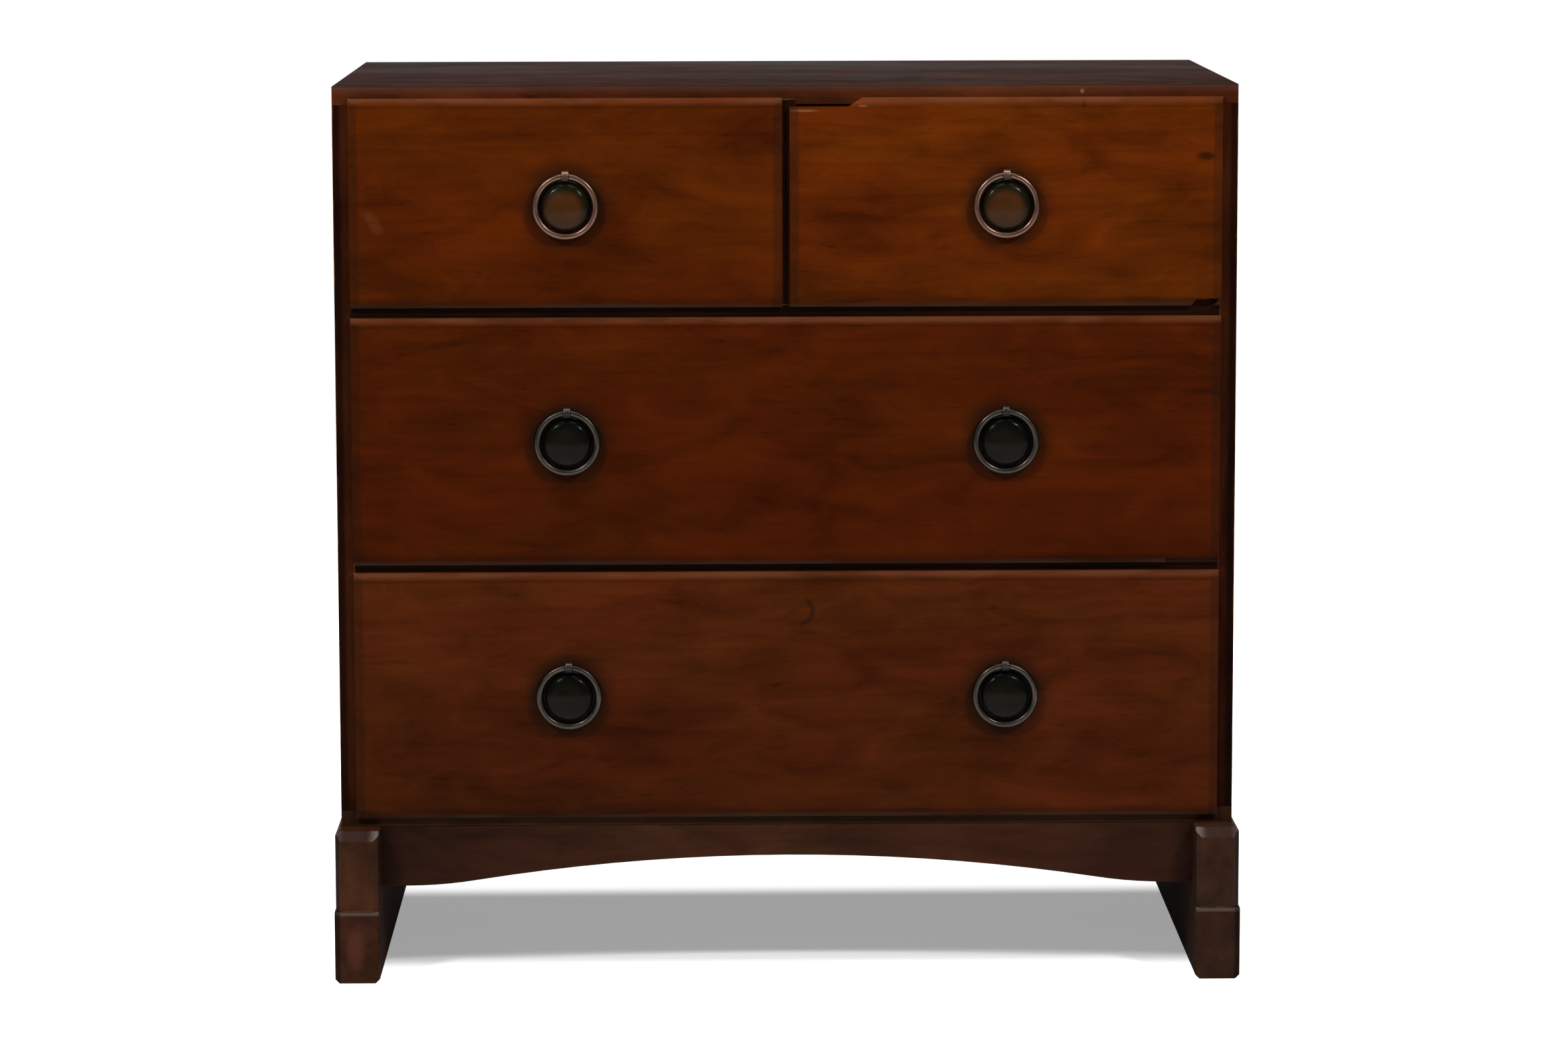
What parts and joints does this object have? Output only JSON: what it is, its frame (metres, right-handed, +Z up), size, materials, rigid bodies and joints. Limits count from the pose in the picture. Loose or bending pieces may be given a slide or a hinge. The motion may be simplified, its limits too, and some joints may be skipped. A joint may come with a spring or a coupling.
{
  "type": "chest of drawers",
  "caption": "Low wooden chest with short drawers over long drawers, bevelled lipped fronts, hinged ring pulls, an arched apron and block runner feet that stand out in front.",
  "frame": {"origin": "on the floor, under the middle of the whole chest's width and depth", "axes": "+X to the viewer's right when facing the drawers, +Y from the drawers to the back, +Z up"},
  "size_m": [0.81, 0.482, 0.8],
  "materials": {
    "case_wood": "dark stained and waxed, satin",
    "drawer_front_wood": "dark red-brown stained and waxed, satin, worn",
    "base_wood": "near-black brown stain, satin",
    "inner_wood": "unfinished, aged",
    "pull_bronze": "aged, dull bronze colour",
    "nut_brass": "tarnished",
    "iron": "dark, oxidised"
  },
  "bodies": {
    "case": {"top_board": "case_wood", "side_left": "case_wood", "side_right": "case_wood", "bottom_board": "case_wood", "upper_rail": "case_wood", "lower_rail": "case_wood", "drawer_divider": "case_wood", "plinth_left": "base_wood", "plinth_right": "base_wood", "foot_left": "base_wood", "foot_right": "base_wood", "apron": "base_wood", "lower_runner_left": "inner_wood", "lower_runner_right": "inner_wood", "upper_runner_left": "inner_wood", "upper_runner_right": "inner_wood", "upper_runner_centre": "inner_wood", "centre_guide": "inner_wood", "back_board_lower": "inner_wood", "back_board_middle": "inner_wood", "back_board_upper": "inner_wood", "base_back_rail": "inner_wood", "glue_blocks": "inner_wood", "foot_dowels": "inner_wood", "back_nails": "iron", "base_screws": "iron"},
    "top_left_drawer": {"top_left_drawer_front": "drawer_front_wood", "top_left_drawer_side_left": "inner_wood", "top_left_drawer_side_right": "inner_wood", "top_left_drawer_back": "inner_wood", "top_left_drawer_bottom": "inner_wood", "top_left_drawer_pulls": "pull_bronze", "top_left_drawer_nuts": "nut_brass"},
    "top_right_drawer": {"top_right_drawer_front": "drawer_front_wood", "top_right_drawer_side_left": "inner_wood", "top_right_drawer_side_right": "inner_wood", "top_right_drawer_back": "inner_wood", "top_right_drawer_bottom": "inner_wood", "top_right_drawer_pulls": "pull_bronze", "top_right_drawer_nuts": "nut_brass"},
    "middle_drawer": {"middle_drawer_front": "drawer_front_wood", "middle_drawer_side_left": "inner_wood", "middle_drawer_side_right": "inner_wood", "middle_drawer_back": "inner_wood", "middle_drawer_bottom": "inner_wood", "middle_drawer_pulls": "pull_bronze", "middle_drawer_nuts": "nut_brass"},
    "bottom_drawer": {"bottom_drawer_front": "drawer_front_wood", "bottom_drawer_side_left": "inner_wood", "bottom_drawer_side_right": "inner_wood", "bottom_drawer_back": "inner_wood", "bottom_drawer_bottom": "inner_wood", "bottom_drawer_pulls": "pull_bronze", "bottom_drawer_nuts": "nut_brass"},
    "top_left_ring": {"top_left_ring": "pull_bronze"},
    "top_right_ring": {"top_right_ring": "pull_bronze"},
    "middle_left_ring": {"middle_left_ring": "pull_bronze"},
    "middle_right_ring": {"middle_right_ring": "pull_bronze"},
    "bottom_left_ring": {"bottom_left_ring": "pull_bronze"},
    "bottom_right_ring": {"bottom_right_ring": "pull_bronze"}
  },
  "joints": [
    {"name": "top_left_drawer_slide", "type": "slide", "parent": "case", "child": "top_left_drawer", "axis": [0, -1, 0], "range_m": [0, 0.3]},
    {"name": "top_right_drawer_slide", "type": "slide", "parent": "case", "child": "top_right_drawer", "axis": [0, -1, 0], "range_m": [0, 0.3]},
    {"name": "middle_drawer_slide", "type": "slide", "parent": "case", "child": "middle_drawer", "axis": [0, -1, 0], "range_m": [0, 0.3]},
    {"name": "bottom_drawer_slide", "type": "slide", "parent": "case", "child": "bottom_drawer", "axis": [0, -1, 0], "range_m": [0, 0.3]},
    {"name": "top_left_ring_hinge", "type": "hinge", "parent": "top_left_drawer", "child": "top_left_ring", "pos_m": [-0.19462, -0.2238, 0.7208], "axis": [-1, 0, 0], "range_deg": [0, 170]},
    {"name": "top_right_ring_hinge", "type": "hinge", "parent": "top_right_drawer", "child": "top_right_ring", "pos_m": [0.19462, -0.2238, 0.7208], "axis": [-1, 0, 0], "range_deg": [0, 170]},
    {"name": "middle_left_ring_hinge", "type": "hinge", "parent": "middle_drawer", "child": "middle_left_ring", "pos_m": [-0.19462, -0.2238, 0.511], "axis": [-1, 0, 0], "range_deg": [0, 170]},
    {"name": "middle_right_ring_hinge", "type": "hinge", "parent": "middle_drawer", "child": "middle_right_ring", "pos_m": [0.19462, -0.2238, 0.511], "axis": [-1, 0, 0], "range_deg": [0, 170]},
    {"name": "bottom_left_ring_hinge", "type": "hinge", "parent": "bottom_drawer", "child": "bottom_left_ring", "pos_m": [-0.19462, -0.2238, 0.2825], "axis": [-1, 0, 0], "range_deg": [0, 170]},
    {"name": "bottom_right_ring_hinge", "type": "hinge", "parent": "bottom_drawer", "child": "bottom_right_ring", "pos_m": [0.19462, -0.2238, 0.2825], "axis": [-1, 0, 0], "range_deg": [0, 170]}
  ]
}
